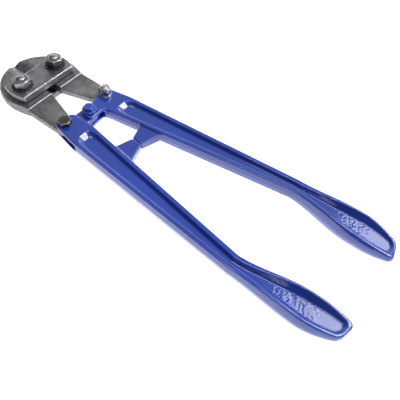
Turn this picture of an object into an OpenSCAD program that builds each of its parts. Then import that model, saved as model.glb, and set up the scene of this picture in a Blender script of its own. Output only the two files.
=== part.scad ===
// Compound-action bolt cutters, lying flat with the jaws closed.
// +Y runs from the grips to the jaws, +X points to the right handle, +Z is up.
// The origin lies under the middle of the tool's outline, level with its lowest face.

/* [Jaws] */
// Distance between the two jaw bolts
jaw_bolt_spacing = 48; // [46:1:58]
// Radius of the round front of the closed jaws
jaw_radius = 45; // [44:0.5:54]
// Jaw thickness between the strap plates
jaw_seat_t = 10.5; // [8.5:0.1:12.8]
// Jaw tail thickness inside the handle slots
jaw_tail_t = 7; // [5.8:0.1:8.4]
// Distance from the jaw bolts back to the link pins
jaw_reach = 71; // [64:1:86]
// Distance between the two link pins with the jaws closed
link_spacing = 61.4; // [60:0.2:66]
// Radius of the round eye at the end of each jaw tail
eye_r = 10; // [9:0.2:12]
// Distance from the jaw bolts back to the step where the tail starts
seat_back = 25.5; // [22:0.5:32]
// Distance from the cutting edge to the flat top of the jaw
bevel_w = 13; // [10:0.5:15]
// Half height of the blunt cutting edge
edge_h = 0.45; // [0.2:0.05:0.8]

/* [Strap plates] */
// Thickness of each strap plate
strap_t = 8; // [6:0.2:10]
// Distance from the jaw bolts to the strap plate's front edge
strap_front = 14.5; // [13:0.5:18]
// Distance from the jaw bolts to the strap plate's back edge
strap_back = 17; // [13:0.5:20]
// Distance of the strap plate's round ends inside the jaw front's radius
strap_inset = 5.5; // [4:0.1:6]

/* [Handles] */
// Length of the tapering shank, from the clevis to the waist
shank_len = 210; // [150:1:260]
// Length of the grip, from the waist to the end
grip_len = 114; // [95:1:140]
// Handle thickness along the shank and the clevis
shank_t = 13.5; // [12.5:0.1:16.2]
// Greatest handle thickness at the grip
grip_t = 19; // [15:0.5:23]
// Handle thickness at the end of the grip
tip_t = 8; // [6:0.2:10]
// Handle width where the shank leaves the clevis
shank_w = 32.8; // [30:0.2:35]
// Handle width at the waist in front of the grip
waist_w = 18.5; // [15:0.5:24]
// Greatest width of the grip
grip_w = 34.5; // [28:0.5:41]
// Width of the flat end of the grip
tip_w = 20; // [16:0.5:24]
// Distance from the tool's middle to the handle's middle at the waist
waist_x = 55.5; // [50:0.5:66]
// Distance from the tool's middle to the handle's middle at the widest grip
grip_x = 52.5; // [48:0.5:63]
// Distance from the tool's middle to the handle's middle at its end
tip_x = 49.5; // [45:0.5:59]
// Thickness of the web between the two pockets
web_t = 4.5; // [3:0.1:6]
// Width of the rim around the shank's pocket
shank_rim = 5.4; // [4:0.1:7]
// Width of the rim around the grip's pocket
grip_rim = 3.6; // [2.5:0.1:4.5]

/* [Centre pivot] */
// Distance from the link pins back to the centre pivot
pivot_setback = 5.5; // [4:0.1:8]
// Thickness of the left handle's tongue
tongue_t = 6.4; // [5.2:0.1:7.6]
// Radius of the tongue and of the fork's round end
pivot_boss_r = 9.2; // [8.6:0.1:10]

/* [Stop lugs] */
// Distance from the jaw bolts back to the middle of the stop lugs
lug_y = 145.5; // [125:1:170]
// Width of a stop lug where it meets the shank
lug_root_w = 29; // [20:1:36]
// Width of a stop lug's contact face
lug_tip_w = 14; // [8:1:18]
// Thickness of a stop lug
lug_t = 9.6; // [7:0.2:11.4]
// Gap between the two stop lugs with the jaws closed
lug_gap = 0.4; // [0.3:0.1:1]

/* [Fasteners] */
// Diameter of the jaw bolts
jaw_bolt_d = 10; // [8:0.1:12]
// Width across flats of the jaw bolt heads and nuts
jaw_hex = 17; // [15:0.1:18]
// Diameter of the link bolts
link_bolt_d = 8; // [6.6:0.1:9.6]
// Width across flats of the link bolt heads and nuts
link_hex = 13; // [12:0.1:14]
// Diameter of the centre pivot bolt
pivot_d = 6; // [5:0.1:7.2]
// Width across flats of the centre pivot's head and nut
pivot_hex = 10; // [9:0.1:11]
// Outer diameter of the centre pivot's washers
pivot_washer_d = 15.6; // [13:0.1:17]
// Number of teeth on each lock washer
lock_teeth = 14; // [10:1:18]

/* [Clearances] */
// Radial play of a bolt in its hole
bore_gap = 0.05; // [0.02:0.01:0.1]
// Play between a tongue or tail and the slot around it, on each face
slot_gap = 0.35; // [0.3:0.05:0.5]
// Gap between a jaw and each strap plate
strap_gap = 0.3; // [0.3:0.05:0.5]
// Radial play of the right jaw bolt in its jaw, which takes up the linkage's drift
free_pivot_gap = 1.5; // [1.5:0.1:2]

/* [Hidden] */
$fn = 96;

steel = [0.36, 0.36, 0.39];
dark_steel = [0.12, 0.12, 0.13];
zinc = [0.75, 0.75, 0.78];
blue = [0.17, 0.27, 0.7];

bolt_x = jaw_bolt_spacing / 2;
pin_x = link_spacing / 2;
pin_y = -jaw_reach;
pivot_y = pin_y - pivot_setback;

// Jaw outline
edge_gap = 0.2;
heel_gap = 1.7;
blade_back = strap_front - 3;
heel_back = 4;
throat_x = 6.5;
throat_y = 13;
side_turn = -6;
side_x = pin_x + eye_r;
tail_lean = 3;
tail_turn = 7.5;
land_w = 5;
land_drop = 0.9;

// Handle outline
cheek_r = eye_r + 0.5;
shank_y = pin_y - 24;
shank_x = pin_x - 1;
bulge_share = 0.67;
thick_share = 0.53;
waist_y = shank_y - shank_len;
bulge_y = waist_y - grip_len * bulge_share;
thick_y = waist_y - grip_len * thick_share;
tip_y = waist_y - grip_len;
tip_slant = tan(13);
tip_corner = 3;
shank_step = 15;
grip_step = 3.6;
inner_x = shank_x - shank_w / 2;
slot_wall = 0.8;
slot_back = 29;
slot_depth = 4;
pocket_front = 1;
pocket_round = 9;
pocket_back = 3.4;

// Levels, measured from the tool's middle plane
strap_low = jaw_seat_t / 2 + strap_gap;
strap_top = strap_low + strap_t;
cheek_top = shank_t / 2;
jaw_head_h = 6.4;
jaw_nut_h = 8.4;
lock_t = 1.5;
lock_r = 11.7;
dome_h = 2.6;
link_head_h = 5.3;
link_nut_h = 6.4;
link_collar_h = 1.7;
link_washer_t = 1;
link_end = 1.2;
pivot_head_h = 4;
pivot_nut_h = 5;
pivot_washer_t = 2.2;
chamfer_angle = 30;

// Shift from the jaw bolts' midpoint to the part's origin
front_y = jaw_radius;
back_y = min([for (p = handle_edge(-1, 0)) p[1]]);
lift = strap_top + jaw_head_h;
shift = [0, -(front_y + back_y) / 2, lift];

function mix(a, b, t) = a + (b - a) * t;
function ease(t) = t * t * (3 - 2 * t);
function share(y, from, to) = max(0, min(1, (y - from) / (to - from)));
function arc(r, from, to, steps) = [
    for (i = [0:steps])
        let (a = mix(from, to, i / steps))
        r * [cos(a), sin(a)]
];

// Middle, width, thickness and rim of a handle at a distance y along it
function middle_x(y) =
    y > waist_y ? mix(shank_x, waist_x, share(y, shank_y, waist_y))
    : y > bulge_y ? mix(waist_x, grip_x, ease(share(y, waist_y, bulge_y)))
    : mix(grip_x, tip_x, share(y, bulge_y, tip_y));
function width(y) =
    y > waist_y ? mix(shank_w, waist_w, share(y, shank_y, waist_y))
    : y > bulge_y ? mix(waist_w, grip_w, ease(share(y, waist_y, bulge_y)))
    : mix(grip_w, tip_w, pow(share(y, bulge_y, tip_y), 2));
function thickness(y) =
    y > thick_y ? mix(shank_t, grip_t, ease(share(y, waist_y, thick_y)))
    : mix(grip_t, tip_t, pow(share(y, thick_y, tip_y), 2));
function rim(y) = mix(shank_rim, grip_rim, ease(share(y, waist_y, bulge_y)));
function slant(y) = tip_slant * pow(share(y, bulge_y, tip_y), 2);
// How far a round corner of radius r, ending at 0, stands in at a distance d from its end
function corner(r, d) = r - sqrt(r * r - pow(r - min(r, max(0, d)), 2));

// Stations along the handle, ending at y = last
function stations(last) = concat(
    [for (i = [0:shank_step]) mix(shank_y, waist_y, i / shank_step)],
    [for (y = [waist_y - grip_step:-grip_step:last + tip_corner]) y],
    [for (i = [0:5]) last + tip_corner * (1 - sin(18 * i))]
);
// One long edge of the handle, side = 1 outside and -1 inside, standing in by inset
function handle_edge(side, inset) = [
    for (y = stations(tip_y))
        let (half = width(y) / 2 - inset - corner(tip_corner, y - tip_y))
        [middle_x(y) + side * half, y + side * half * slant(y)]
];
// One long edge of the pocket
function pocket_edge(side) = [
    for (y = concat(
        [for (i = [0:8]) shank_y - pocket_front - pocket_round * (1 - cos(11.25 * i))],
        [for (s = stations(tip_y + pocket_back)) if (s < shank_y - pocket_front - pocket_round) s]
    ))
        let (half = width(y) / 2 - rim(y)
            - corner(pocket_round, shank_y - pocket_front - y)
            - corner(tip_corner, y - tip_y - pocket_back))
        [middle_x(y) + side * half, y + side * half * slant(y)]
];
function backward(list) = [for (i = [len(list) - 1:-1:0]) list[i]];

// A slab of the given thickness about the middle plane
module slab(t) {
    translate([0, 0, -t / 2]) linear_extrude(t) children();
}

// Everything is drawn about the jaw bolts' midpoint and moved to the origin last
module place() {
    translate(shift) children();
}

// Hexagonal prism with its corners chamfered at the top and, if both is true, at the bottom
module hex_block(af, h, both = false) {
    corner_r = af / 2 / cos(30);
    flat_r = af / 2 * 0.96;
    drop = (corner_r - flat_r) * tan(chamfer_angle);
    base_r = both ? flat_r : corner_r;
    base_h = both ? drop : 0;
    intersection() {
        cylinder(r = corner_r, h = h, $fn = 6);
        rotate_extrude()
            polygon([[0, 0], [base_r, 0], [corner_r, base_h], [corner_r, h - drop], [flat_r, h], [0, h]]);
    }
}

// Shank from z = low to z = top, ending in a dome
module shank(d, low, top, dome) {
    steps = 8;
    rotate_extrude()
        polygon(concat(
            [[0, low], [d / 2, low]],
            [for (i = [0:steps]) let (a = 90 * i / steps)
                [d / 2 * (0.55 + 0.45 * cos(a)), top - dome + dome * sin(a)]],
            [[0, top]]
        ));
}

module washer(inner_r, outer_r, t) {
    difference() {
        cylinder(r = outer_r, h = t);
        translate([0, 0, -1]) cylinder(r = inner_r, h = t + 2);
    }
}

// ---------------------------------------------------------------- jaws

module jaw_plan() {
    edge_angle = 90 - asin(edge_gap / jaw_radius);
    polygon(concat(
        arc(jaw_radius, edge_angle, side_turn, 40),
        [
            [side_x, -seat_back + 3], [side_x, pin_y], [pin_x - eye_r, pin_y],
            [pin_x - eye_r - tail_lean, pin_y + tail_turn],
            [throat_x, -seat_back - 1], [throat_x, -throat_y],
            [heel_gap, -heel_back], [heel_gap, blade_back], [edge_gap, blade_back]
        ]
    ));
    translate([pin_x, pin_y]) circle(r = eye_r);
}

// Waste above the ground bevel of one face of the right jaw
module bevel_waste() {
    reach = jaw_radius - blade_back + 2;
    top = jaw_seat_t / 2;
    translate([0, jaw_radius + 1, 0])
        rotate([90, 0, 0])
            linear_extrude(reach)
                polygon([
                    [bevel_w, top], [bevel_w - land_w, top - land_drop], [edge_gap, edge_h],
                    [-1, edge_h], [-1, top + 1], [bevel_w, top + 1]
                ]);
}

module right_jaw_at_bolts(bolt_gap) {
    difference() {
        union() {
            slab(jaw_tail_t) jaw_plan();
            slab(jaw_seat_t)
                intersection() {
                    jaw_plan();
                    translate([-1, -seat_back]) square([jaw_radius + 2, seat_back + jaw_radius + 2]);
                }
        }
        bevel_waste();
        mirror([0, 0, 1]) bevel_waste();
        translate([bolt_x, 0, -jaw_seat_t]) cylinder(r = jaw_bolt_d / 2 + bolt_gap, h = 2 * jaw_seat_t);
        translate([pin_x, pin_y, -jaw_seat_t]) cylinder(r = link_bolt_d / 2 + bore_gap, h = 2 * jaw_seat_t);
    }
}

module left_jaw() {
    color(steel) place() mirror([1, 0, 0]) right_jaw_at_bolts(bore_gap);
}

module right_jaw() {
    color(steel) place() right_jaw_at_bolts(free_pivot_gap);
}

// ---------------------------------------------------------------- strap plates

module strap_plate(z) {
    end_r = jaw_radius - strap_inset;
    translate([0, 0, z])
        difference() {
            linear_extrude(strap_t)
                intersection() {
                    circle(r = end_r, $fn = 180);
                    translate([-end_r, -strap_back]) square([2 * end_r, strap_back + strap_front]);
                }
            for (x = [-bolt_x, bolt_x])
                translate([x, 0, -1]) cylinder(r = jaw_bolt_d / 2 + bore_gap, h = strap_t + 2);
        }
}

module top_strap_plate() {
    color(steel) place() strap_plate(strap_low);
}

module bottom_strap_plate() {
    color(steel) place() strap_plate(-strap_top);
}

// ---------------------------------------------------------------- handles

// Shank and grip of the right handle, from the clevis to the end
module long_body() {
    past_tip = concat(stations(tip_y), [tip_y - tip_w]);
    low = [for (y = past_tip) [y, -thickness(y) / 2]];
    top = [for (y = past_tip) [y, thickness(y) / 2]];
    intersection() {
        slab(grip_t + 2) polygon(concat(handle_edge(1, 0), backward(handle_edge(-1, 0))));
        rotate([90, 0, 90]) linear_extrude(2 * waist_x) polygon(concat(low, backward(top)));
    }
}

module pockets() {
    for (side = [0, 1])
        mirror([0, 0, side])
            translate([0, 0, web_t / 2])
                linear_extrude(grip_t)
                    polygon(concat(pocket_edge(1), backward(pocket_edge(-1))));
}

// Flat front of a handle between the shank and the link pin, with its own front edge
module clevis_plan(front) {
    polygon(concat(
        front,
        [
            [pin_x, pin_y + cheek_r], [pin_x + cheek_r, pin_y],
            [shank_x + shank_w / 2, shank_y], [inner_x, shank_y]
        ]
    ));
    translate([pin_x, pin_y]) circle(r = cheek_r);
}

// Slot that takes the jaw tail and is open to the front and the outside
module tail_slot_plan() {
    wall_x = pin_x - eye_r - slot_wall;
    reach = 30;
    translate([pin_x, pin_y]) circle(r = eye_r + slot_wall);
    polygon([
        [wall_x, pin_y], [wall_x - tail_lean, pin_y + tail_turn], [wall_x - tail_lean, pin_y + reach],
        [pin_x + reach, pin_y + reach], [pin_x + reach, pin_y - slot_back - 1],
        [shank_x + shank_w / 2 - slot_depth, pin_y - slot_back],
        [pin_x + 0.7 * eye_r, pin_y - 1.5 * eye_r], [pin_x, pin_y - eye_r - slot_wall]
    ]);
}

// Stop lug, with its contact face towards the other handle
module lug_plan() {
    root_x = middle_x(-lug_y) - width(-lug_y) / 2 + shank_rim;
    polygon([
        [lug_gap / 2, -lug_y - lug_tip_w / 2], [lug_gap / 2, -lug_y + lug_tip_w / 2],
        [root_x, -lug_y + lug_root_w / 2], [root_x, -lug_y - lug_root_w / 2]
    ]);
}

module handle_with_slot(front) {
    difference() {
        union() {
            long_body();
            slab(shank_t) clevis_plan(front);
            difference() {
                slab(lug_t) lug_plan();
                pockets();
            }
        }
        pockets();
        slab(jaw_tail_t + 2 * slot_gap) tail_slot_plan();
        translate([pin_x, pin_y, -shank_t]) cylinder(r = link_bolt_d / 2 + bore_gap, h = 2 * shank_t);
    }
}

// Left handle: its tongue reaches to the centre pivot
module left_handle() {
    round_r = 4.5;
    front = [
        [inner_x, pin_y + 1], [inner_x + 0.3 * round_r, pin_y + 4.2],
        [inner_x + round_r, pin_y + 6.6], [inner_x + 2 * round_r, pin_y + 8.4]
    ];
    color(blue) place() mirror([1, 0, 0])
        difference() {
            union() {
                handle_with_slot(front);
                slab(tongue_t) {
                    translate([0, pivot_y]) circle(r = pivot_boss_r);
                    translate([0, pivot_y - pivot_boss_r]) square([inner_x + 1, 2 * pivot_boss_r]);
                }
            }
            translate([0, pivot_y, -shank_t]) cylinder(r = pivot_d / 2 + bore_gap, h = 2 * shank_t);
        }
}

// Right handle: its fork holds the tongue between two cheeks
module right_handle() {
    heel_y = pivot_y - pivot_boss_r - 2;
    front = [
        [inner_x - 1, heel_y - 2], [inner_x - 3.5, heel_y + 0.4], [-pivot_boss_r + 3, heel_y - 0.6],
        [-pivot_boss_r, heel_y + 2.6], [-pivot_boss_r, pivot_y], [0, pivot_y + pivot_boss_r],
        [inner_x - 2, pin_y + 1.6], [inner_x + 5.5, pin_y + 4.4], [inner_x + 12, pin_y + 8.6]
    ];
    color(blue) place()
        difference() {
            union() {
                handle_with_slot(front);
                slab(shank_t) translate([0, pivot_y]) circle(r = pivot_boss_r);
            }
            slab(tongue_t + 2 * slot_gap)
                translate([-2 * pivot_boss_r, heel_y - 8])
                    square([2 * pivot_boss_r + inner_x - 1.5, 40]);
            translate([0, pivot_y, -shank_t]) cylinder(r = pivot_d / 2 + bore_gap, h = 2 * shank_t);
        }
}

// ---------------------------------------------------------------- jaw fasteners

module jaw_bolt(x) {
    end = strap_top + lock_t + jaw_nut_h + dome_h;
    translate([x, 0, 0]) {
        translate([0, 0, -strap_top]) mirror([0, 0, 1]) hex_block(jaw_hex, jaw_head_h);
        shank(jaw_bolt_d, -strap_top - 1, end, dome_h * 0.6);
    }
}

module jaw_nut(x) {
    translate([x, 0, strap_top + lock_t])
        difference() {
            hex_block(jaw_hex, jaw_nut_h, true);
            translate([0, 0, -1]) cylinder(r = jaw_bolt_d / 2 + bore_gap, h = jaw_nut_h + 2);
        }
}

module lock_washer(x) {
    root_r = lock_r - 2.2;
    tooth_w = 2 * PI * root_r / lock_teeth * 0.55;
    translate([x, 0, strap_top])
        difference() {
            union() {
                cylinder(r = root_r, h = lock_t);
                for (i = [0:lock_teeth - 1])
                    rotate(360 / lock_teeth * i)
                        translate([root_r - 1, -tooth_w / 2, 0])
                            cube([lock_r - root_r + 1, tooth_w, lock_t]);
            }
            translate([0, 0, -1]) cylinder(r = jaw_bolt_d / 2 + 0.4, h = lock_t + 2);
        }
}

module left_jaw_bolt() {
    color(steel) place() jaw_bolt(-bolt_x);
}

module right_jaw_bolt() {
    color(steel) place() jaw_bolt(bolt_x);
}

module left_jaw_nut() {
    color(steel) place() jaw_nut(-bolt_x);
}

module right_jaw_nut() {
    color(steel) place() jaw_nut(bolt_x);
}

module left_lock_washer() {
    color(dark_steel) place() lock_washer(-bolt_x);
}

module right_lock_washer() {
    color(dark_steel) place() lock_washer(bolt_x);
}

// ---------------------------------------------------------------- link fasteners

// Drawn with the head on top; side = -1 turns the whole set over
module at_link(x, side) {
    translate([x, pin_y, 0]) mirror([0, 0, side < 0 ? 1 : 0]) children();
}

module link_bolt() {
    low = cheek_top + link_washer_t + link_nut_h + link_collar_h + link_end;
    translate([0, 0, cheek_top]) hex_block(link_hex, link_head_h);
    mirror([0, 0, 1]) shank(link_bolt_d, -cheek_top - 1, low, link_end);
}

// Lock nut with a round collar around its insert
module link_nut() {
    mirror([0, 0, 1])
        translate([0, 0, cheek_top + link_washer_t])
            difference() {
                union() {
                    hex_block(link_hex, link_nut_h, true);
                    cylinder(r = link_hex * 0.46, h = link_nut_h + link_collar_h);
                }
                translate([0, 0, -1])
                    cylinder(r = link_bolt_d / 2 + bore_gap, h = link_nut_h + link_collar_h + 2);
            }
}

module link_washer() {
    translate([0, 0, -cheek_top - link_washer_t])
        washer(link_bolt_d / 2 + bore_gap, link_hex * 0.6, link_washer_t);
}

module left_link_bolt() {
    color(dark_steel) place() at_link(-pin_x, 1) link_bolt();
}

module right_link_bolt() {
    color(zinc) place() at_link(pin_x, -1) link_bolt();
}

module left_link_nut() {
    color(dark_steel) place() at_link(-pin_x, 1) link_nut();
}

module right_link_nut() {
    color(zinc) place() at_link(pin_x, -1) link_nut();
}

module left_link_washer() {
    color(dark_steel) place() at_link(-pin_x, 1) link_washer();
}

module right_link_washer() {
    color(zinc) place() at_link(pin_x, -1) link_washer();
}

// ---------------------------------------------------------------- centre pivot

module pivot_washer(z) {
    translate([0, pivot_y, z]) washer(pivot_d / 2 + bore_gap, pivot_washer_d / 2, pivot_washer_t);
}

module centre_pivot_bolt() {
    face = cheek_top + pivot_washer_t;
    color(blue) place()
        translate([0, pivot_y, 0]) {
            translate([0, 0, face]) hex_block(pivot_hex, pivot_head_h);
            mirror([0, 0, 1]) shank(pivot_d, -face - 1, face + pivot_nut_h + 1.5, 1);
        }
}

module centre_pivot_nut() {
    color(blue) place()
        translate([0, pivot_y, -cheek_top - pivot_washer_t])
            mirror([0, 0, 1])
                difference() {
                    hex_block(pivot_hex, pivot_nut_h, true);
                    translate([0, 0, -1]) cylinder(r = pivot_d / 2 + bore_gap, h = pivot_nut_h + 2);
                }
}

module centre_top_washer() {
    color(blue) place() pivot_washer(cheek_top);
}

module centre_bottom_washer() {
    color(blue) place() pivot_washer(-cheek_top - pivot_washer_t);
}

left_handle();
right_handle();
left_jaw();
right_jaw();
top_strap_plate();
bottom_strap_plate();
left_jaw_bolt();
right_jaw_bolt();
left_jaw_nut();
right_jaw_nut();
left_lock_washer();
right_lock_washer();
left_link_bolt();
right_link_bolt();
left_link_nut();
right_link_nut();
left_link_washer();
right_link_washer();
centre_pivot_bolt();
centre_pivot_nut();
centre_top_washer();
centre_bottom_washer();
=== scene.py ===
"""Bolt cutters with bevelled jaws, strap plates and two forged, pocketed handles.

Each piece is a solid given by a distance field in millimetres, measured from the point midway
The field is skinned with an even net of quads, so every edge has its
real rounding, and each vertex keeps how sharply the surface turns there, for the wear, the
lighter paint on sharp edges with its painted highlight, and the painted shade in hollows.
"""
import math

import bpy
import numpy as np
from mathutils import Matrix, Vector, noise


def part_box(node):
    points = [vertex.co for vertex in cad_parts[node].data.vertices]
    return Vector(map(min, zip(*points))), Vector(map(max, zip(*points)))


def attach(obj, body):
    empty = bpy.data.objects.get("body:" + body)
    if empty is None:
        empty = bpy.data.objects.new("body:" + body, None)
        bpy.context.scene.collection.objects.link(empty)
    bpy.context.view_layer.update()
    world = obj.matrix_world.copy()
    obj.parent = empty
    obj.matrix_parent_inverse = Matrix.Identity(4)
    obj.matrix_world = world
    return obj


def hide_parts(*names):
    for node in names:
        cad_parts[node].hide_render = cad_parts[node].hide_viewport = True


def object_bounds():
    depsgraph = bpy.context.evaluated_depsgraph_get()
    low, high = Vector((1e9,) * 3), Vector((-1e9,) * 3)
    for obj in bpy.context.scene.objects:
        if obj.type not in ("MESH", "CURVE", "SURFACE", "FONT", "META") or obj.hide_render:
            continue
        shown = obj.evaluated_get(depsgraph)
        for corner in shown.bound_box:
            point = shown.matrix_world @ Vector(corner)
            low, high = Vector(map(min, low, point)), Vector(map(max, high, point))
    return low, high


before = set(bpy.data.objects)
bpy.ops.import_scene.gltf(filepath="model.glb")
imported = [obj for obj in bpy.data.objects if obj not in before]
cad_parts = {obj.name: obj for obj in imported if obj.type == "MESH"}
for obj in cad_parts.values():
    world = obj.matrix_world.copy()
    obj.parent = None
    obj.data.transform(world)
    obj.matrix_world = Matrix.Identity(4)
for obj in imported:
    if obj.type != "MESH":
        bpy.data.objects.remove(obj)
cad_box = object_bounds()

MM = 0.001


# ---------------------------------------------------------------- places taken from the frame

def middle(node):
    low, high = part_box(node)
    return (low + high) / 2


left_bolt = middle("left_jaw_bolt")
right_bolt = middle("right_jaw_bolt")
link_place = middle("right_link_bolt")
pivot_place = middle("centre_pivot_bolt")
plate_low, plate_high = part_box("top_strap_plate")
home = (left_bolt + right_bolt) / 2
home.z = (plate_low.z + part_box("bottom_strap_plate")[1].z) / 2


def size_of(node):
    low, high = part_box(node)
    return (high - low) / MM


def top_of(node):
    return (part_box(node)[1].z - home.z) / MM


def bottom_of(node):
    return (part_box(node)[0].z - home.z) / MM


BOLT_X = (right_bolt.x - home.x) / MM
PIN_X = (link_place.x - home.x) / MM
PIN_Y = (link_place.y - home.y) / MM
PIVOT_Y = (pivot_place.y - home.y) / MM

# Bolts and their bores
JAW_BOLT_D, LINK_BOLT_D, PIVOT_BOLT_D = 10.0, 8.0, 6.0
JAW_HEX, LINK_HEX, PIVOT_HEX = 17.0, 13.0, 10.0
BORE_CLEAR = 0.05
OPEN_BORE_CLEAR = 1.5

# Jaws and strap plates
JAW_R = (cad_box[1].y - home.y) / MM
JAW_T = size_of("right_jaw").z
TAIL_T = 7.0
EYE_R = 10.0
SEAT_BACK = 25.5
SEAT_FILLET, SEAT_CHAMFER, SEAT_EDGE = 0.8, 0.5, 0.3
JAW_EDGE = 0.25
BORE_EDGE = 0.3
PLATE_LOW = (plate_low.z - home.z) / MM
PLATE_TOP = (plate_high.z - home.z) / MM
PLATE_R = size_of("top_strap_plate").x / 2
PLATE_FRONT = (plate_high.y - home.y) / MM
PLATE_BACK = (plate_low.y - home.y) / MM

# Handles
CHEEK_R = EYE_R + 0.5
CHEEK_TOP = 6.75
CHEEK_LEN, SHANK_LEN, GRIP_LEN = 24.0, 210.0, 114.0
SHANK_Y = PIN_Y - CHEEK_LEN
WAIST_Y = SHANK_Y - SHANK_LEN
TIP_Y = WAIST_Y - GRIP_LEN
BULGE_Y = WAIST_Y - 0.67 * GRIP_LEN
THICK_Y = WAIST_Y - 0.53 * GRIP_LEN
SHANK_X, WAIST_X, GRIP_X, TIP_X = PIN_X - 1, 55.5, 52.5, 49.5
SHANK_W, WAIST_W, GRIP_W, TIP_W = 32.8, 18.5, 34.5, 20.0
SHANK_T, GRIP_T, TIP_T = 2 * CHEEK_TOP, 19.0, 8.0
TIP_SLANT = math.tan(math.radians(13))
INNER_X = SHANK_X - SHANK_W / 2
BOSS_R = 9.2
TONGUE_T = 6.4
SLOT_GAP = 0.35
LUG_Y = -144.3
LUG_T = 9.6
LUG_HALF = 6.2
LUG_SPREAD = 7.5


# ---------------------------------------------------------------- fields and their blends

def mix(a, b, t):
    return a + (b - a) * t


def ease(t):
    return t * t * (3 - 2 * t)


def share(y, start, end):
    """How far y has gone from start to end, from 0 to 1."""
    return np.clip((y - start) / (end - start), 0, 1)


def both(a, b, r=0.0):
    """Inside a and b, with the edge where they meet rounded to radius r."""
    return np.minimum(np.maximum(a, b), -r) + np.hypot(np.maximum(a + r, 0), np.maximum(b + r, 0))


def either(a, b, r=0.0):
    """Inside a or b, with a fillet of radius r between them."""
    return -both(-a, -b, r)


def cut(a, b, r=0.0):
    """Inside a and outside b, with the new edge rounded."""
    return both(a, -b, r)


def bevel(a, b, c, r):
    """Inside a and b, with a flat chamfer that takes c off the edge."""
    return both(both(a, b, r), (a + b + c) / math.sqrt(2), r)


def slab(z, half):
    return np.abs(z) - half


def between(z, low, high):
    return np.maximum(low - z, z - high)


def disc(x, y, cx, cy, r):
    return np.hypot(x - cx, y - cy) - r


def bore(d):
    """Radius of a plain hole for a bolt of diameter d."""
    return d / 2 + BORE_CLEAR


def outline(points, x, y):
    """Distance to a closed polygon, negative inside."""
    nearest = np.full(np.broadcast(x, y).shape, 1e9)
    inside = np.zeros(nearest.shape, bool)
    for (ax, ay), (bx, by) in zip(points, points[1:] + points[:1]):
        ex, ey = bx - ax, by - ay
        wx, wy = x - ax, y - ay
        along = np.clip((wx * ex + wy * ey) / (ex * ex + ey * ey), 0, 1)
        nearest = np.minimum(nearest, (wx - ex * along) ** 2 + (wy - ey * along) ** 2)
        if ay != by:
            crossed = (ay > y) != (by > y)
            inside = inside ^ (crossed & (x < ax + (y - ay) * ex / ey))
    return np.where(inside, -1, 1) * np.sqrt(nearest)


def hexagon(x, y, across, turn=0.0):
    """Six flats, the given distance across."""
    field = -1e9
    for i in range(3):
        a = math.radians(60 * i + 30 + turn)
        field = np.maximum(field, np.abs(x * math.cos(a) + y * math.sin(a)) - across / 2)
    return field


# ---------------------------------------------------------------- skin over a field

PULLS = 4
PROBE = 0.03
LEAST_SLOPE = 0.3
TURN_REACH = 0.6
TURN_GAIN = 0.8


def skin(field, low, high, step):
    """Vertices and quads on the zero level of field, each vertex moved on to it."""
    low, high = np.array(low, float) - 2 * step, np.array(high, float) + 2 * step
    count = np.ceil((high - low) / step).astype(int) + 1
    x, y, z = (low[k] + step * np.arange(count[k]) for k in range(3))
    value = np.array(np.broadcast_to(
        field(x[:, None, None], y[None, :, None], z[None, None, :]), count), np.float32)
    inside = value < 0
    strides = np.array([count[1] * count[2], count[2], 1])
    cells, spots, quads = [], [], []
    for k in range(3):
        here = [slice(None)] * 3
        there = [slice(None)] * 3
        here[k], there[k] = slice(0, -1), slice(1, None)
        edge = np.argwhere(inside[tuple(here)] != inside[tuple(there)])
        a = value[tuple(edge.T)]
        ahead = edge.copy()
        ahead[:, k] += 1
        b = value[tuple(ahead.T)]
        spot = low + step * edge
        spot[:, k] += step * a / (a - b)
        u, v = np.zeros(3, int), np.zeros(3, int)
        u[(k + 1) % 3] = v[(k + 2) % 3] = 1
        ring = np.stack([(edge - u - v) @ strides, (edge - v) @ strides,
                         edge @ strides, (edge - u) @ strides], 1)
        quads.append(np.where((a < 0)[:, None], ring, ring[:, ::-1]))
        cells.append(ring.ravel())
        spots.append(np.repeat(spot, 4, 0))
    names, which = np.unique(np.concatenate(cells), return_inverse=True)
    spots = np.concatenate(spots)
    times = np.bincount(which)
    verts = np.stack([np.bincount(which, spots[:, k]) / times for k in range(3)], 1)
    faces = np.searchsorted(names, np.concatenate(quads))

    for _ in range(PULLS):
        f, normal = slope(field, verts)
        verts -= np.clip(f, -step / 2, step / 2)[:, None] * normal
    return verts, faces


def slope(field, verts):
    """The distance to the surface and its direction at each vertex."""
    x, y, z = verts.T
    h = PROBE
    f = field(x, y, z) + 0 * x
    g = np.stack([field(x + h, y, z) - field(x - h, y, z),
                  field(x, y + h, z) - field(x, y - h, z),
                  field(x, y, z + h) - field(x, y, z - h)], 1) / (2 * h)
    length = np.maximum(np.linalg.norm(g, axis=1), LEAST_SLOPE)
    return f / length, g / length[:, None]


def turning(field, verts, h):
    """How sharply the surface turns, from -1 in a tight hollow to 1 on a tight edge."""
    x, y, z = verts.T
    around = (field(x + h, y, z) + field(x - h, y, z) + field(x, y + h, z)
              + field(x, y - h, z) + field(x, y, z + h) + field(x, y, z - h))
    return np.clip((around - 6 * (field(x, y, z) + 0 * x)) / h * TURN_GAIN, -1, 1)


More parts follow.
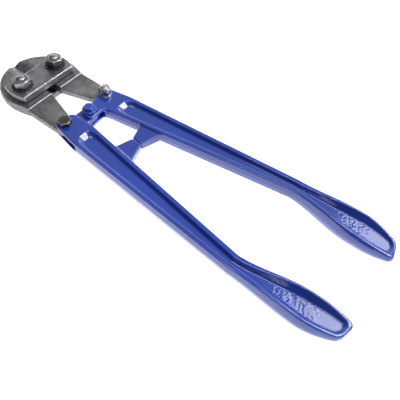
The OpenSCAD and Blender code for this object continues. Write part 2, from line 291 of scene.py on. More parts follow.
def solid(name, field, low, high, step, body, material, forged=False):
    """Skins the field and makes it the piece that stands for a CAD node."""
    verts, faces = skin(field, low, high, step)
    marks = {"edge": turning(field, verts, max(step, TURN_REACH))}
    if forged:
        marks["beaten"] = beaten(verts)
        verts = forging(field, verts)
    mesh = bpy.data.meshes.new(name)
    mesh.vertices.add(len(verts))
    mesh.vertices.foreach_set("co", (verts * MM + np.array(home)).ravel())
    mesh.loops.add(faces.size)
    mesh.loops.foreach_set("vertex_index", faces.astype(np.int32).ravel())
    mesh.polygons.add(len(faces))
    mesh.polygons.foreach_set("loop_start", np.arange(0, faces.size, 4, dtype=np.int32))
    mesh.update(calc_edges=True)
    mesh.validate()
    mesh.shade_smooth()
    for label, values in marks.items():
        mark = mesh.attributes.new(label, "FLOAT", "POINT")
        mark.data.foreach_set("value", values.astype(np.float32))
    mesh.materials.append(material)
    piece = bpy.data.objects.new(name, mesh)
    bpy.context.scene.collection.objects.link(piece)
    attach(piece, body)
    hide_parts(name.replace("_skin", ""))


# ---------------------------------------------------------------- shader groups

def group(name, inputs, outputs):
    """A shader node group with its inputs given as name: value, and typed outputs."""
    tree = bpy.data.node_groups.new(name, "ShaderNodeTree")
    for label, value in inputs.items():
        kind = "NodeSocketColor" if hasattr(value, "__len__") else "NodeSocketFloat"
        socket = tree.interface.new_socket(label, in_out="INPUT", socket_type=kind)
        socket.default_value = value
    for label, kind in outputs.items():
        tree.interface.new_socket(label, in_out="OUTPUT", socket_type="NodeSocket" + kind)
    return tree, tree.nodes.new("NodeGroupInput"), tree.nodes.new("NodeGroupOutput")


def wire(tree, value, socket):
    """Links a socket's value, or sets a plain one."""
    if isinstance(value, bpy.types.NodeSocket):
        tree.links.new(value, socket)
    else:
        socket.default_value = value


def node(tree, kind, out=0, settings=None, **sockets):
    """Adds a node, fills its sockets by name or index (i0, i1, ...) and gives one output."""
    made = tree.nodes.new("ShaderNode" + kind)
    for key, value in (settings or {}).items():
        setattr(made, key, value)
    for key, value in sockets.items():
        place = int(key[1:]) if key[0] == "i" and key[1:].isdigit() else key.replace("_", " ")
        wire(tree, value, made.inputs[place])
    return made.outputs[out]


def maths(tree, operation, a, b=0.0, clamp=False):
    return node(tree, "Math", settings={"operation": operation, "use_clamp": clamp}, i0=a, i1=b)


def spread(tree, value, low, high, to_low=0.0, to_high=1.0):
    """Carries low..high to to_low..to_high, and holds it there beyond."""
    return node(tree, "MapRange", i0=value, i1=low, i2=high, i3=to_low, i4=to_high)


def blend_colour(tree, share_of, a, b):
    made = tree.nodes.new("ShaderNodeMix")
    made.data_type = "RGBA"
    for value, socket in ((share_of, made.inputs[0]), (a, made.inputs[6]), (b, made.inputs[7])):
        wire(tree, value, socket)
    return made.outputs[2]


def grains(tree, scale, detail, rough, stretch=None):
    """Noise with about scale / 1000 grains to the millimetre."""
    where = node(tree, "TexCoord", out=3)
    if stretch:
        where = node(tree, "Mapping", Vector=where, Scale=stretch)
    return node(tree, "TexNoise", Vector=where, Scale=scale, Detail=detail, Roughness=rough)


def wear_and_hollow_shade_group():
    """Masks of the edges that handling rubs bare, broken up by noise, and of the hollows, which the
    materials darken as painted shade.
    """
    tree, given, result = group("edge_wear_and_hollow_shade", {"Amount": 1.0, "Start": 0.35, "Breakup": 0.5},
                                {"Wear": "Float", "HollowShade": "Float"})
    turn = node(tree, "Attribute", out=2, settings={"attribute_name": "edge"})
    broken = spread(tree, grains(tree, 420.0, 5.0, 0.7), 0.3, 0.7, -0.5, 0.5)
    lifted = maths(tree, "ADD", turn, maths(tree, "MULTIPLY", broken, given.outputs["Breakup"]))
    start = given.outputs["Start"]
    mask = spread(tree, lifted, start, maths(tree, "ADD", start, 0.25))
    tree.links.new(maths(tree, "MULTIPLY", mask, given.outputs["Amount"], True), result.inputs[0])
    # Second mask: the hollows, used only to darken them as painted shade.
    tree.links.new(spread(tree, turn, -0.03, -0.5), result.inputs[1])
    return tree


def forged_group():
    """Mottled scale and fine pitting of hardened steel."""
    tree, given, result = group(
        "forged_surface", {"Dark": (0.03, 0.03, 0.033, 1), "Light": (0.1, 0.1, 0.11, 1), "Grain": 1.0},
        {"Color": "Color", "Roughness": "Float", "Height": "Float"})
    cloud = grains(tree, 60.0, 6.0, 0.7)
    fine = grains(tree, 800.0, 4.0, 0.75)
    streak = grains(tree, 700.0, 2.0, 0.5, (1.0, 0.2, 1.0))
    tone = maths(tree, "ADD", maths(tree, "MULTIPLY", cloud, 0.5), maths(tree, "MULTIPLY", fine, 0.5))
    colour = blend_colour(tree, spread(tree, tone, 0.38, 0.62), given.outputs["Dark"],
                          given.outputs["Light"])
    tree.links.new(colour, result.inputs[0])
    tree.links.new(spread(tree, cloud, 0.3, 0.7, 0.38, 0.5), result.inputs[1])
    height = maths(tree, "ADD", maths(tree, "MULTIPLY", fine, 0.4), streak)
    tree.links.new(maths(tree, "MULTIPLY", height, given.outputs["Grain"]), result.inputs[2])
    return tree


def paint_group():
    """Thick stoving paint: slow changes of depth, orange peel and a rougher cast floor."""
    tree, given, result = group(
        "paint_film", {"Paint": (0.04, 0.07, 0.4, 1), "Deep": (0.01, 0.015, 0.1, 1), "Peel": 1.0,
                       "Cast": 0.0},
        {"Color": "Color", "Roughness": "Float", "Height": "Float"})
    slow = grains(tree, 22.0, 3.0, 0.5)
    peel = grains(tree, 620.0, 2.0, 0.5)
    cast = grains(tree, 330.0, 3.0, 0.6)
    tint = blend_colour(tree, spread(tree, slow, 0.3, 0.7, 0.0, 0.35), given.outputs["Paint"],
                        given.outputs["Deep"])
    tree.links.new(tint, result.inputs[0])
    tree.links.new(spread(tree, slow, 0.3, 0.7, 0.1, 0.17), result.inputs[1])
    height = maths(tree, "ADD", maths(tree, "MULTIPLY", peel, given.outputs["Peel"]),
                   maths(tree, "MULTIPLY", cast, given.outputs["Cast"]))
    tree.links.new(height, result.inputs[2])
    return tree


EDGE_WEAR_AND_SHADE = wear_and_hollow_shade_group()
FORGED = forged_group()
PAINT = paint_group()


def placed(tree, made_group, **values):
    made = tree.nodes.new("ShaderNodeGroup")
    made.node_tree = made_group
    for key, value in values.items():
        wire(tree, value, made.inputs[key])
    return made


def new_material(name):
    material = bpy.data.materials.new(name)
    material.use_nodes = True
    tree = material.node_tree
    return material, tree, tree.nodes["Principled BSDF"]


def bump(tree, height, strength, distance, shader):
    lifted = node(tree, "Bump", Strength=strength, Distance=distance, Height=height)
    tree.links.new(lifted, shader.inputs["Normal"])


# Near black that hollows in steel are darkened to, as painted shade.
HOLLOW_SHADE_BLACK = (0.012, 0.012, 0.013, 1)
# The deeper blue is the paint's random deeper tone and also the painted shade in hollows; the lighter blue
# stands for thinner paint on sharp edges and paints a highlight there.
DEEP_BLUE, THIN_PAINT_HIGHLIGHT_BLUE = (0.008, 0.018, 0.15, 1), (0.16, 0.2, 0.62, 1)


def steel(name, dark, light, bare, wear=1.0, start=0.3, grain=1.0, breakup=0.5, polish=0.0):
    """Dark hardened steel, bright where its edges are worn, and darkened in its hollows as painted shade.
    """
    material, tree, shader = new_material(name)
    surface = placed(tree, FORGED, Dark=dark, Light=light, Grain=grain)
    wear_and_shade = placed(tree, EDGE_WEAR_AND_SHADE, Amount=wear, Start=start, Breakup=breakup)
    colour = blend_colour(tree, wear_and_shade.outputs["Wear"], surface.outputs["Color"], bare)
    # Painted shade: hollows darkened towards near black.
    shaded = blend_colour(tree, maths(tree, "MULTIPLY", wear_and_shade.outputs["HollowShade"], 0.7), colour,
                          HOLLOW_SHADE_BLACK)
    tree.links.new(shaded, shader.inputs["Base Color"])
    gloss = maths(tree, "ADD", maths(tree, "MULTIPLY", wear_and_shade.outputs["Wear"], 0.1), polish)
    rough = maths(tree, "SUBTRACT", surface.outputs["Roughness"], gloss)
    tree.links.new(rough, shader.inputs["Roughness"])
    shader.inputs["Metallic"].default_value = 1.0
    bump(tree, surface.outputs["Height"], 0.25, 0.2 * MM, shader)
    return material


def paint(name, colour, peel=1.0):
    """Glossy paint over steel with a rough cast where it is beaten; lighter on the sharpest corners, as
    thinner paint and a painted highlight, and darker in hollows as painted shade.
    """
    material, tree, shader = new_material(name)
    hammered = node(tree, "Attribute", out=2, settings={"attribute_name": "beaten"})
    film = placed(tree, PAINT, Paint=colour, Deep=DEEP_BLUE, Peel=peel,
                  Cast=maths(tree, "MULTIPLY", hammered, 5.0))
    wear_and_shade = placed(tree, EDGE_WEAR_AND_SHADE, Amount=1.0, Start=0.3, Breakup=0.2)
    # Sharp edges lighter: thinner paint, and a painted highlight.
    thin_paint_highlight = blend_colour(tree, maths(tree, "MULTIPLY", wear_and_shade.outputs["Wear"], 0.35),
                        film.outputs["Color"], THIN_PAINT_HIGHLIGHT_BLUE)
    # Painted shade: hollows darkened towards the deeper blue.
    hollow_shaded = blend_colour(tree, maths(tree, "MULTIPLY", wear_and_shade.outputs["HollowShade"], 0.2), thin_paint_highlight,
                          DEEP_BLUE)
    tree.links.new(hollow_shaded, shader.inputs["Base Color"])
    tree.links.new(film.outputs["Roughness"], shader.inputs["Roughness"])
    shader.inputs["Coat Weight"].default_value = 1.0
    shader.inputs["Coat Roughness"].default_value = 0.03
    shader.inputs["IOR"].default_value = 1.5
    bump(tree, film.outputs["Height"], 0.12, 0.4 * MM, shader)
    return material


def cool_grey(value):
    """A steel colour that leans to blue."""
    return value, value, value * 1.05, 1


def warm_grey(value):
    """A steel colour that leans to brown."""
    return value, value * 0.955, value * 0.91, 1


blue_paint = paint("blue_handle_paint", (0.016, 0.066, 0.47, 1))
blue_fastener_paint = paint("blue_pivot_paint", (0.018, 0.068, 0.48, 1), peel=0.6)
jaw_steel = steel("jaw_steel", cool_grey(0.11), cool_grey(0.34), cool_grey(0.75), wear=0.5, start=0.5)
plate_steel = steel("strap_plate_steel", cool_grey(0.13), cool_grey(0.37), cool_grey(0.8),
                    wear=0.95, start=0.46)
bolt_steel = steel("jaw_bolt_steel", cool_grey(0.2), cool_grey(0.36), cool_grey(0.75), wear=0.6, start=0.62,
                   grain=0.1, breakup=0.2, polish=0.12)
black_steel = steel("lock_washer_steel", cool_grey(0.012), cool_grey(0.03), cool_grey(0.16), wear=0.7)
dark_bolt_steel = steel("dark_bolt_steel", warm_grey(0.06), warm_grey(0.16), warm_grey(0.55),
                        wear=0.7, start=0.6, grain=1.2, polish=0.08)
zinc = steel("zinc_plating", cool_grey(0.3), cool_grey(0.52), cool_grey(0.85), wear=0.5, start=0.5,
             grain=0.05, breakup=0.1, polish=0.12)


# ---------------------------------------------------------------- jaws

BLADE_BACK = PLATE_FRONT - 3
BEVEL_W, LAND_W, LAND_DROP, EDGE_H = 13.0, 5.0, 0.9, 0.45
SIDE_X = PIN_X + EYE_R
HEEL_GAP, EDGE_GAP, THROAT_X = 1.7, 0.2, 6.5
ARC_STOP = math.radians(-6)
ARC_END = JAW_R * math.cos(ARC_STOP), JAW_R * math.sin(ARC_STOP)
BEYOND = 60.0
JAW_DRAFT = 1.2


def jaw_plan(x, y):
    """Quarter-round front with the blade on its straight side, and the tail to the link pin."""
    front = np.maximum(disc(x, y, 0, 0, JAW_R), outline([
        (BEYOND, BEYOND), (BEYOND, ARC_END[1]), ARC_END, (20.0, -14.0), (THROAT_X, -13.0), (HEEL_GAP, -4.0),
        (HEEL_GAP, BLADE_BACK), (EDGE_GAP, BLADE_BACK), (EDGE_GAP, BEYOND)], x, y))
    rear = outline([
        (30.0, 10.0), ARC_END, (SIDE_X, -SEAT_BACK + 3), (SIDE_X, PIN_Y), (PIN_X - EYE_R, PIN_Y),
        (PIN_X - EYE_R - 3, PIN_Y + 7.5), (THROAT_X, -SEAT_BACK - 1), (THROAT_X, -13.0),
        (HEEL_GAP + 1, -5.0)], x, y)
    return np.minimum(np.minimum(front, rear), disc(x, y, PIN_X, PIN_Y, EYE_R))


def jaw_field(side, bolt_clear):
    """Thick seat for the plates, thin tail, and a blade ground in two bevels from each face."""
    land_slope = LAND_DROP / LAND_W
    main_slope = (JAW_T / 2 - LAND_DROP - EDGE_H) / (BEVEL_W - LAND_W - EDGE_GAP)

    def field(x, y, z):
        x = x * side
        up = np.abs(z)
        plan = jaw_plan(x, y)
        height = np.clip(up / (JAW_T / 2), 0, 1)
        drafted = plan + JAW_DRAFT * ease(share(y, -8, 6)) * height ** 3
        seat = bevel(np.maximum(drafted, -SEAT_BACK - y), up - JAW_T / 2, SEAT_CHAMFER, SEAT_EDGE)
        tail = both(plan, up - TAIL_T / 2, SEAT_FILLET)
        land = (up - JAW_T / 2 + (BEVEL_W - x) * land_slope) / math.hypot(1, land_slope)
        main = (up - EDGE_H - (x - EDGE_GAP) * main_slope) / math.hypot(1, main_slope)
        blade = np.minimum(np.maximum(land, main), y - BLADE_BACK)
        whole = both(either(seat, tail, SEAT_FILLET), blade, JAW_EDGE)
        whole = cut(whole, disc(x, y, BOLT_X, 0, JAW_BOLT_D / 2 + bolt_clear), BORE_EDGE)
        return cut(whole, disc(x, y, PIN_X, PIN_Y, bore(LINK_BOLT_D)), BORE_EDGE)
    return field


for name, side, clear in (("left_jaw", -1, BORE_CLEAR), ("right_jaw", 1, OPEN_BORE_CLEAR)):
    reach = sorted((0.0, side * (JAW_R + 1)))
    solid(name + "_skin", jaw_field(side, clear), (reach[0], PIN_Y - EYE_R, -JAW_T / 2),
          (reach[1], JAW_R, JAW_T / 2), 0.5, name, jaw_steel)


# ---------------------------------------------------------------- strap plates

PLATE_CHAMFER, PLATE_EDGE = 1.0, 0.25


def plate_field(low, top):
    """Round-sided plate with straight front and back, and two bolt holes."""
    def field(x, y, z):
        plan = both(disc(x, y, 0, 0, PLATE_R), between(y, PLATE_BACK, PLATE_FRONT), 0.5)
        whole = bevel(plan, between(z, low, top), PLATE_CHAMFER, PLATE_EDGE)
        return cut(whole, disc(np.abs(x), y, BOLT_X, 0, bore(JAW_BOLT_D)), BORE_EDGE)
    return field


for name, low, top in (("top_strap_plate", PLATE_LOW, PLATE_TOP),
                       ("bottom_strap_plate", -PLATE_TOP, -PLATE_LOW)):
    solid(name + "_skin", plate_field(low, top), (-PLATE_R, PLATE_BACK, low),
          (PLATE_R, PLATE_FRONT, top), 0.5, "head", plate_steel)


# ---------------------------------------------------------------- fasteners

CORNER_CUT = math.radians(30)
CORNER_START = 0.47
JAW_DOME, LINK_DOME, PIVOT_DOME = 1.9, 1.2, 1.0


def hex_field(x, y, z, across, low, top, turn=0.0, chamfer_low=True, chamfer_top=True, r=0.3):
    """Hexagonal block from z = low to top, its corners turned off at 30 degrees."""
    around = np.hypot(x, y)
    whole = both(hexagon(x, y, across, turn), between(z, low, top), r)
    for on, depth in ((chamfer_top, z - top), (chamfer_low, low - z)):
        if on:
            off = (around - CORNER_START * across) * math.sin(CORNER_CUT) + depth * math.cos(CORNER_CUT)
            whole = both(whole, off, r)
    return whole


def shank_field(x, y, z, d, low, top, dome):
    """Round shank whose free end at z = top is domed."""
    around = np.hypot(x, y)
    whole = both(around - d / 2, between(z, low, top), 0.3)
    ball = d * d / 8 / dome + dome / 2
    return both(whole, np.hypot(around, z - top + ball) - ball, 0.3)


def fastener(name, field, step, body, material, flip=False):
    """Skins a fastener drawn about its own axis, over the CAD node's own box."""
    low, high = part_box(name)
    cx, cy = ((low + high) / 2 - home).to_2d() / MM
    turned = -1 if flip else 1

    def at_place(x, y, z):
        return field(x - cx, y - cy, z * turned)
    solid(name + "_skin", at_place, (low - home) / MM, (high - home) / MM, step, body, material)


LOCK_T = top_of("left_lock_washer") - PLATE_TOP
JAW_NUT_LOW, JAW_NUT_TOP = bottom_of("left_jaw_nut"), top_of("left_jaw_nut")
JAW_BOLT_LOW, JAW_BOLT_TOP = bottom_of("left_jaw_bolt"), top_of("left_jaw_bolt")
LOCK_TEETH, LOCK_ROOT_R, LOCK_TIP_R, LOCK_TWIST = 14, 9.5, 11.7, 0.9
TOOTH_HALF, TOOTH_THIN = 0.3, 0.62


def jaw_nut_field(turn):
    def field(x, y, z):
        block = hex_field(x, y, z, JAW_HEX, JAW_NUT_LOW, JAW_NUT_TOP, turn, r=0.35)
        mouth = np.hypot(x, y) - bore(JAW_BOLT_D) - np.maximum(z - JAW_NUT_TOP + 0.3, 0)
        return cut(block, mouth, 0.2)
    return field


def jaw_bolt_field(x, y, z):
    head = hex_field(x, y, z, JAW_HEX, JAW_BOLT_LOW, -PLATE_TOP, chamfer_top=False, r=0.35)
    shank = shank_field(x, y, z, JAW_BOLT_D, -PLATE_TOP - 1, JAW_BOLT_TOP, JAW_DOME)
    return np.minimum(head, shank)


def lock_washer_field(x, y, z):
    """Flat ring with teeth all round, each twisted out of its plane."""
    around = np.hypot(x, y)
    tooth = (np.arctan2(y, x) * LOCK_TEETH / (2 * np.pi)) % 1 - 0.5
    out = np.clip((around - LOCK_ROOT_R) / (LOCK_TIP_R - LOCK_ROOT_R), 0, 1)
    level = z - PLATE_TOP - LOCK_T / 2 - LOCK_TWIST * tooth * out
    ring = both(around - LOCK_ROOT_R, slab(level, LOCK_T / 2), 0.15)
    width = (np.abs(tooth) - TOOTH_HALF) * 2 * np.pi * around / LOCK_TEETH
    blade = both(both(around - LOCK_TIP_R, width, 0.4), slab(level, LOCK_T / 2 * TOOTH_THIN), 0.15)
    return cut(np.minimum(ring, blade), around - JAW_BOLT_D / 2 - 0.4, 0.15)


for side, turn in (("left", 8.0), ("right", -14.0)):
    fastener(side + "_jaw_nut", jaw_nut_field(turn), 0.4, "head", bolt_steel)
    fastener(side + "_jaw_bolt", jaw_bolt_field, 0.4, "head", bolt_steel)
    fastener(side + "_lock_washer", lock_washer_field, 0.3, "head", black_steel)

# The left link bolt is drawn as it lies, head up; the right set is turned over.
LINK_HEAD_TOP = top_of("left_link_bolt")
LINK_END = -bottom_of("left_link_bolt")
LINK_NUT_LOW = -top_of("left_link_nut")
LINK_NUT_TOP = -bottom_of("left_link_nut")
LINK_COLLAR_R, LINK_COLLAR_H, LINK_COLLAR_ROUND = LINK_HEX * 0.46, 1.7, 1.1
LINK_WASHER_R, LINK_WASHER_T = LINK_HEX * 0.6, 1.0


def link_bolt_field(turn):
    def field(x, y, z):
        head = hex_field(x, y, z, LINK_HEX, CHEEK_TOP, LINK_HEAD_TOP, turn, chamfer_low=False)
        shank = shank_field(x, y, -z, LINK_BOLT_D, -CHEEK_TOP - 1, LINK_END, LINK_DOME)
        return np.minimum(head, shank)
    return field


def link_nut_field(turn):
    """Lock nut drawn with its collar at the bottom."""
    def field(x, y, z):
        down = -z
        block = hex_field(x, y, down, LINK_HEX, LINK_NUT_LOW, LINK_NUT_TOP - LINK_COLLAR_H, turn)
        around = np.hypot(x, y)
        collar = both(around - LINK_COLLAR_R, between(down, LINK_NUT_LOW, LINK_NUT_TOP),
                      LINK_COLLAR_ROUND)
        whole = either(block, collar, 0.4)
        mouth = around - bore(LINK_BOLT_D) - np.maximum(down - LINK_NUT_TOP + 0.9, 0) * 0.5
        return cut(whole, mouth, 0.25)
    return field


def link_washer_field(x, y, z):
    ring = both(np.hypot(x, y) - LINK_WASHER_R, between(-z, CHEEK_TOP, CHEEK_TOP + LINK_WASHER_T), 0.3)
    return cut(ring, np.hypot(x, y) - bore(LINK_BOLT_D), 0.15)


for side, turn, finish, slot in (("left", 20.0, dark_bolt_steel, "dark_bolt_steel"),
                                 ("right", 10.0, zinc, "zinc_plate")):
    over = side == "right"
    body = side + "_handle"
    fastener(side + "_link_bolt", link_bolt_field(turn), 0.35, body, finish, over)
    fastener(side + "_link_nut", link_nut_field(turn), 0.35, body, finish, over)
    fastener(side + "_link_washer", link_washer_field, 0.3, body, finish, over)

PIVOT_FACE = top_of("centre_top_washer")
PIVOT_TOP = top_of("centre_pivot_bolt")
PIVOT_END = -bottom_of("centre_pivot_bolt")
PIVOT_NUT_END = -bottom_of("centre_pivot_nut")
PIVOT_WASHER_R = size_of("centre_top_washer").x / 2
PIVOT_TURN = 12.0


def pivot_bolt_field(x, y, z):
    head = hex_field(x, y, z, PIVOT_HEX, PIVOT_FACE, PIVOT_TOP, PIVOT_TURN, chamfer_low=False, r=0.4)
    shank = shank_field(x, y, -z, PIVOT_BOLT_D, -PIVOT_FACE - 1, PIVOT_END, PIVOT_DOME)
    return np.minimum(head, shank)


def pivot_nut_field(x, y, z):
    block = hex_field(x, y, -z, PIVOT_HEX, PIVOT_FACE, PIVOT_NUT_END, PIVOT_TURN)
    return cut(block, np.hypot(x, y) - bore(PIVOT_BOLT_D), 0.2)


def pivot_washer_field(x, y, z):
    up = np.abs(z)
    ring = both(np.hypot(x, y) - PIVOT_WASHER_R, between(up, CHEEK_TOP, PIVOT_FACE), 0.6)
    return cut(ring, np.hypot(x, y) - bore(PIVOT_BOLT_D), 0.2)


for name, field in (("pivot_bolt", pivot_bolt_field), ("pivot_nut", pivot_nut_field),
                    ("top_washer", pivot_washer_field), ("bottom_washer", pivot_washer_field)):
    fastener("centre_" + name, field, 0.35, "right_handle", blue_fastener_paint)


# ---------------------------------------------------------------- handles

def grip_share(y):
    return ease(share(y, WAIST_Y, BULGE_Y))


def middle_x(y):
    """The handle's centre line, which turns at the waist and at the grip's widest part."""
    shank = mix(SHANK_X, WAIST_X, share(y, SHANK_Y, WAIST_Y))
    grip = mix(mix(WAIST_X, GRIP_X, grip_share(y)), TIP_X, share(y, BULGE_Y, TIP_Y))
    return np.where(y > WAIST_Y, shank, grip)


def half_width(y):
    shank = mix(SHANK_W, WAIST_W, share(y, SHANK_Y, WAIST_Y))
    grip = mix(mix(WAIST_W, GRIP_W, grip_share(y)), TIP_W, share(y, BULGE_Y, TIP_Y) ** 2)
    return np.where(y > WAIST_Y, shank, grip) / 2


def half_thickness(y):
    front = mix(SHANK_T, GRIP_T, ease(share(y, WAIST_Y, THICK_Y)))
    return mix(front, TIP_T, share(y, THICK_Y, TIP_Y) ** 2) / 2


def slant(y):
    """How far the grip's outline is sheared, so that its end runs slantwise."""
    return TIP_SLANT * share(y, BULGE_Y, TIP_Y) ** 2


# Each of these four has one value for the shank and one for the widest part of the grip.
RIM = 5.6, 4.5
WALL_SLOPE = 0.35, 0.72
SIDE_DRAFT = 1.0, 2.7
DRAFT_CURVE = 1.1, 1.8

TIP_DRAFT = 0.4
RAMP_SLOPE = 1.6
FLASH_H, FLASH_W = 0.18, 0.6
TIP_ROUND = 5.0
HANDLE_EDGE, RIM_EDGE, SLOT_EDGE, HOLE_EDGE = 1.1, 0.7, 0.4, 0.2
LUG_TIP_ROUND, LUG_EDGE, LUG_FILLET = 2.2, 1.3, 1.5
WEB_HALF, WEB_FILLET = 2.25, 1.3
POCKET_FRONT, POCKET_ROUND, POCKET_BACK = 0.5, 6.5, 3.2
EYE_CLEAR = 0.8
SLOT_BACK, SLOT_DEPTH = 29.0, 4.0
HEEL_Y = PIVOT_Y - BOSS_R - 2
LUG_ROOT_X = float(middle_x(np.array(LUG_Y)) - half_width(np.array(LUG_Y))) + 3.0

TONGUE_FRONT = [(INNER_X, PIN_Y + 1), (INNER_X + 1.35, PIN_Y + 4.2), (INNER_X + 4.5, PIN_Y + 6.6),
                (INNER_X + 9, PIN_Y + 8.4)]
FORK_FRONT = [(INNER_X - 1, HEEL_Y - 2), (INNER_X - 3.5, HEEL_Y + 0.4), (-BOSS_R + 3, HEEL_Y - 0.6),
              (-BOSS_R, HEEL_Y + 2.6), (-BOSS_R, PIVOT_Y), (0.0, PIVOT_Y + BOSS_R),
              (INNER_X - 2, PIN_Y + 1.6), (INNER_X + 5.5, PIN_Y + 4.4), (INNER_X + 12, PIN_Y + 8.6)]


def side_draft(y):
    """How far the sides fall away from the parting line up to the rim."""
    return mix(*SIDE_DRAFT, grip_share(y)) * mix(1.0, TIP_DRAFT, share(y, BULGE_Y, TIP_Y) ** 2)


def handle_plan(x, y, front, along, across):
    """Flat front round the link pin, then the long shank and grip."""
    flat = np.minimum(
        outline(front + [(PIN_X, PIN_Y + CHEEK_R), (PIN_X + CHEEK_R, PIN_Y),
                         (SHANK_X + SHANK_W / 2, SHANK_Y), (SHANK_X + 12, SHANK_Y - 20),
                         (SHANK_X - 9, SHANK_Y - 20), (INNER_X, SHANK_Y)], x, y),
        disc(x, y, PIN_X, PIN_Y, CHEEK_R))
    long_part = both(np.abs(across) - half_width(along), TIP_Y - along, TIP_ROUND)
    return np.minimum(flat, np.maximum(long_part, along - SHANK_Y))


def pocket_field(along, across, up):
    """Trough of the I-section, on both faces, with sloping walls and a filleted floor."""
    slope = mix(*WALL_SLOPE, grip_share(along))
    depth = half_thickness(along) - up
    steep = np.hypot(1, slope)
    wall = (np.abs(across) - half_width(along) + mix(*RIM, grip_share(along)) + slope * depth) / steep
    front = (along - SHANK_Y + POCKET_FRONT + RAMP_SLOPE * depth) / math.hypot(1, RAMP_SLOPE)
    back = TIP_Y + POCKET_BACK - along + slope * depth
    trough = both(both(wall, front, POCKET_ROUND), back, TIP_ROUND - 0.5)
    return both(trough, WEB_HALF - up, WEB_FILLET)


def tail_slot(x, y, z):
    """Slot for the jaw's tail, open at the front and along the outer side."""
    wall = PIN_X - EYE_R - EYE_CLEAR
    reach = SLOT_BACK + 1
    plan = np.minimum(disc(x, y, PIN_X, PIN_Y, EYE_R + EYE_CLEAR), outline([
        (wall, PIN_Y), (wall - 3, PIN_Y + 7.5), (wall - 3, PIN_Y + reach),
        (PIN_X + reach, PIN_Y + reach), (PIN_X + reach, PIN_Y - reach),
        (SHANK_X + SHANK_W / 2 - SLOT_DEPTH, PIN_Y - SLOT_BACK),
        (PIN_X + 0.7 * EYE_R, PIN_Y - 1.5 * EYE_R), (PIN_X, PIN_Y - EYE_R - EYE_CLEAR)], x, y))
    return np.maximum(plan, slab(z, TAIL_T / 2 + SLOT_GAP))


def stop_lug(x, y, z):
    """Wedge between the shanks, wider at its root, that meets its twin when the tool is shut."""
    lean = math.atan2(LUG_SPREAD, LUG_ROOT_X)
    ends = (np.abs(y - LUG_Y) - LUG_HALF) * math.cos(lean) - x * math.sin(lean)
    plan = both(both(ends, 0.2 - x, LUG_TIP_ROUND), x - LUG_ROOT_X)
    return both(plan, slab(z, LUG_T / 2), LUG_EDGE)


def fork_slot(x, y, z):
    """Gap of the fork, which takes the other handle's tongue."""
    plan = np.maximum(between(y, HEEL_Y - 8, HEEL_Y + 32), x - INNER_X + 1.5)
    return np.maximum(plan, slab(z, TONGUE_T / 2 + SLOT_GAP))


def tongue(x, y, z):
    arm = np.maximum(between(y, PIVOT_Y - BOSS_R, PIVOT_Y + BOSS_R), between(x, 0, INNER_X + 1))
    plan = np.minimum(disc(x, y, 0, PIVOT_Y, BOSS_R), arm)
    return both(plan, slab(z, TONGUE_T / 2), 0.5)


def handle_field(side, fork):
    """Forged I-section with the slot for the jaw, the stop lug, and a fork or a tongue."""
    def field(x, y, z):
        x = x * side
        across = x - middle_x(y)
        along = y - across * slant(y)
        across = x - middle_x(along)
        along = y - across * slant(along)
        up = np.abs(z)
        half = half_thickness(along)
        plan = handle_plan(x, y, FORK_FRONT if fork else TONGUE_FRONT, along, across)
        if fork:
            plan = np.minimum(plan, disc(x, y, 0, PIVOT_Y, BOSS_R))
        curve = mix(*DRAFT_CURVE, grip_share(along))
        drafted = plan + side_draft(along) * np.clip(up / half, 0, 1.2) ** curve
        drafted = drafted - FLASH_H * np.exp(-(z / FLASH_W) ** 2)
        whole = both(drafted, up - half, HANDLE_EDGE)
        whole = either(whole, stop_lug(x, y, z), LUG_FILLET)
        whole = cut(whole, pocket_field(along, across, up), RIM_EDGE)
        whole = cut(whole, tail_slot(x, y, z), SLOT_EDGE)
        if fork:
            whole = cut(whole, fork_slot(x, y, z), SLOT_EDGE)
        else:
            whole = either(whole, tongue(x, y, z), 0.5)
        whole = cut(whole, disc(x, y, 0, PIVOT_Y, bore(PIVOT_BOLT_D)), HOLE_EDGE)
        return cut(whole, disc(x, y, PIN_X, PIN_Y, bore(LINK_BOLT_D)), HOLE_EDGE)
    return field


BLOW_SIZE, BLOW_DEPTH = 1.7, 0.17
WAVE_SIZE, WAVE_DEPTH = 12, 0.05


def forging(field, verts):
    """Slow waves all over, and hammer marks where the grip's floor is beaten."""
    _, normal = slope(field, verts)
    waves = np.array([noise.noise(Vector(v) / WAVE_SIZE) for v in verts])
    blows = np.array([noise.noise(Vector(v) / BLOW_SIZE) for v in verts])
    return verts + normal * (WAVE_DEPTH * waves + BLOW_DEPTH * beaten(verts) * blows)[:, None]


def beaten(verts):
    """Where the floor of the grip's pocket is beaten: fully behind its middle, fading to both ends."""
    y, up = verts[:, 1], np.abs(verts[:, 2])
    fade = ease(share(y, TIP_Y + 80, TIP_Y + 48)) * ease(share(y, TIP_Y + 22, TIP_Y + 32))
    return fade * (1 - share(up, 2.6, 3.6))


for side, fork in (("left", False), ("right", True)):
    low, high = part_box(side + "_handle")
    solid(side + "_handle_skin", handle_field(1 if fork else -1, fork), (low - home) / MM,
          (high - home) / MM, 0.8, side + "_handle", blue_paint, forged=True)


# ---------------------------------------------------------------- floor, light and camera

VIEW_AZIMUTH, VIEW_ELEVATION, VIEW_ROLL = -58.18, 53.77, 6.07
VIEW_AIM = Vector((-16.3, -240.0, 0.0))
VIEW_DISTANCE = 0.4882
LENS, SENSOR = 44.74, 36.0
LAMP_DISTANCE = 2.5
DARK_SIDE = (-0.87, 0.25, 0.43)


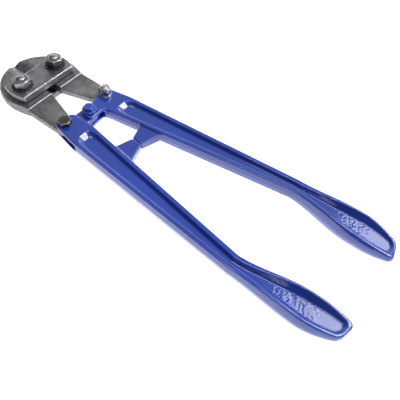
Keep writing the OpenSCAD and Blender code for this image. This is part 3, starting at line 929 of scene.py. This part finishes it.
def floor_and_backdrop():
    """Pale floor that sweeps up behind the tool, and glows so that it stays even."""
    half, rise, turn = 3.0, 2.0, 0.6
    profile = [(-half, 0.0)] + [
        (half - turn + turn * math.sin(a), turn - turn * math.cos(a))
        for a in np.linspace(0, math.pi / 2, 13)] + [(half, rise)]
    verts = [(x, y, z) for x in (-half, half) for y, z in profile]
    n = len(profile)
    mesh = bpy.data.meshes.new("floor_sweep")
    mesh.from_pydata(verts, [], [(i, n + i, n + i + 1, i + 1) for i in range(n - 1)])
    mesh.shade_smooth()
    material, _, shader = new_material("pale_floor")
    shader.inputs["Base Color"].default_value = (0.9, 0.9, 0.91, 1)
    shader.inputs["Roughness"].default_value = 0.7
    shader.inputs["Emission Color"].default_value = (1, 1, 1, 1)
    shader.inputs["Emission Strength"].default_value = 0.92
    mesh.materials.append(material)
    sweep = bpy.data.objects.new("floor_sweep", mesh)
    bpy.context.scene.collection.objects.link(sweep)
    sweep.rotation_euler.z = math.radians(VIEW_AZIMUTH)


def softbox(name, aim, towards, width, height, power):
    """Soft rectangular light, seen from aim in the direction towards."""
    light = bpy.data.lights.new(name, "AREA")
    light.shape, light.size, light.size_y = "RECTANGLE", width, height
    light.energy = power
    lamp = bpy.data.objects.new(name, light)
    bpy.context.scene.collection.objects.link(lamp)
    offset = Vector(towards) * LAMP_DISTANCE
    lamp.location = aim + offset
    lamp.rotation_euler = (-offset).to_track_quat("-Z", "Y").to_euler()


def studio():
    """White backdrop, a grey sky that darkens to the left, and softboxes over and beyond the tool."""
    world = bpy.data.worlds.new("studio_white")
    world.use_nodes = True
    tree = world.node_tree
    towards = node(tree, "VectorMath", out=1, settings={"operation": "DOT_PRODUCT"},
                   i0=node(tree, "TexCoord"), i1=DARK_SIDE)
    sky = tree.nodes["Background"]
    reflected = spread(tree, towards, 0.1, 0.85, 0.42, 0.1)
    backdrop = node(tree, "LightPath")
    wire(tree, maths(tree, "ADD", reflected, backdrop), sky.inputs["Strength"])
    sky.inputs["Color"].default_value = (1, 1, 1, 1)
    bpy.context.scene.world = world
    bpy.context.scene.view_settings.view_transform = "Standard"
    grips = home + Vector((0.0, BULGE_Y, 0.0)) * MM
    clevis = home + Vector((0.0, SHANK_Y, 0.0)) * MM
    softbox("top_softbox", clevis, (-0.04, 0.0, 0.96), 0.8, 0.8, 9)
    softbox("grip_softbox", grips, (0.55, -0.11, 0.83), 0.9, 1.1, 13)
    softbox("window_softbox", clevis, (0.44, -0.42, 0.79), 0.9, 0.9, 22)


def camera():
    """A pinhole view along one direction, with a small roll."""
    azimuth, elevation, roll = (math.radians(a) for a in (VIEW_AZIMUTH, VIEW_ELEVATION, VIEW_ROLL))
    back = Vector((math.sin(azimuth) * math.cos(elevation), -math.cos(azimuth) * math.cos(elevation),
                   math.sin(elevation)))
    right = (-back).cross(Vector((0, 0, 1))).normalized()
    up = right.cross(-back)
    turned_right = right * math.cos(roll) + up * math.sin(roll)
    turned_up = up * math.cos(roll) - right * math.sin(roll)
    data = bpy.data.cameras.new("product_camera")
    data.sensor_width, data.lens = SENSOR, LENS
    lens = bpy.data.objects.new("product_camera", data)
    bpy.context.scene.collection.objects.link(lens)
    rotation = Matrix((turned_right, turned_up, back)).transposed()
    place = home + VIEW_AIM * MM + back * VIEW_DISTANCE
    lens.matrix_world = Matrix.Translation(place) @ rotation.to_4x4()
    bpy.context.scene.camera = lens


floor_and_backdrop()
studio()
camera()
